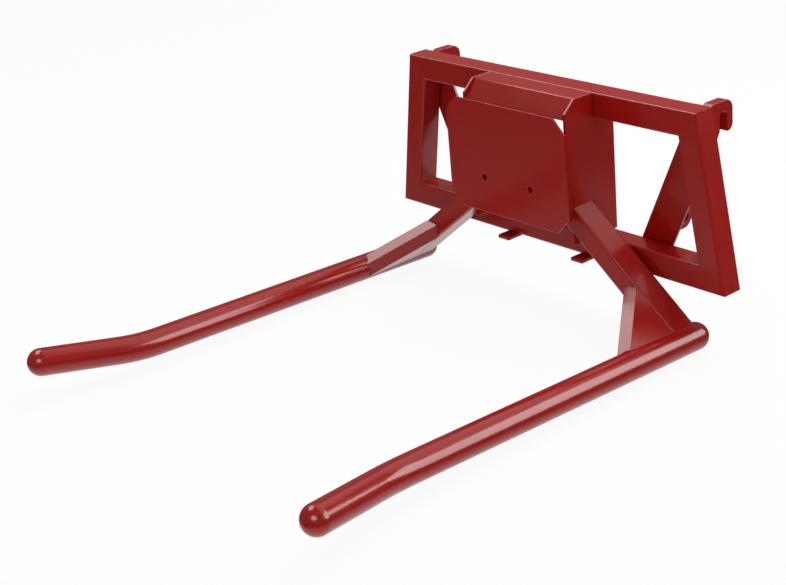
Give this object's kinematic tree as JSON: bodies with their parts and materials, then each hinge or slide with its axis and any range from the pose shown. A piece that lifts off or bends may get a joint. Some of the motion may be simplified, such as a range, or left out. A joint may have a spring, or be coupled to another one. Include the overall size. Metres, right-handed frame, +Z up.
{
  "type": "bale carrier",
  "caption": "Welded front-loader carrier for round bales: bent round-tube tines under a hollow-section frame with hitch hooks, locking lugs and a front cover.",
  "frame": {"origin": "middle of the hook line, the axis of the loader's cross bar where it sits in the two hooks", "axes": "+Z up, -Y forward along the tines, +X across the machine along the cross bar"},
  "size_m": [1.2794, 1.5138, 0.6454],
  "materials": {
    "red_powder_coat": "gloss powder coat over steel"
  },
  "bodies": {
    "root": {"back_brace_left": "red_powder_coat", "back_brace_right": "red_powder_coat", "cover_spacer_left": "red_powder_coat", "cover_spacer_right": "red_powder_coat", "foot_left": "red_powder_coat", "foot_right": "red_powder_coat", "frame_bottom_tube": "red_powder_coat", "frame_side_tube_left": "red_powder_coat", "frame_side_tube_right": "red_powder_coat", "frame_top_tube": "red_powder_coat", "front_cover": "red_powder_coat", "gusset_left": "red_powder_coat", "gusset_right": "red_powder_coat", "hitch_hook_left": "red_powder_coat", "hitch_hook_right": "red_powder_coat", "locking_lug_left": "red_powder_coat", "locking_lug_right": "red_powder_coat", "tine_arm_left": "red_powder_coat", "tine_arm_right": "red_powder_coat", "tine_pipe_left": "red_powder_coat", "tine_pipe_right": "red_powder_coat", "tine_caps_left": "red_powder_coat", "tine_caps_right": "red_powder_coat", "tower_side_plate_left": "red_powder_coat", "tower_side_plate_right": "red_powder_coat", "tower_top_plate": "red_powder_coat"}
  },
  "joints": []
}
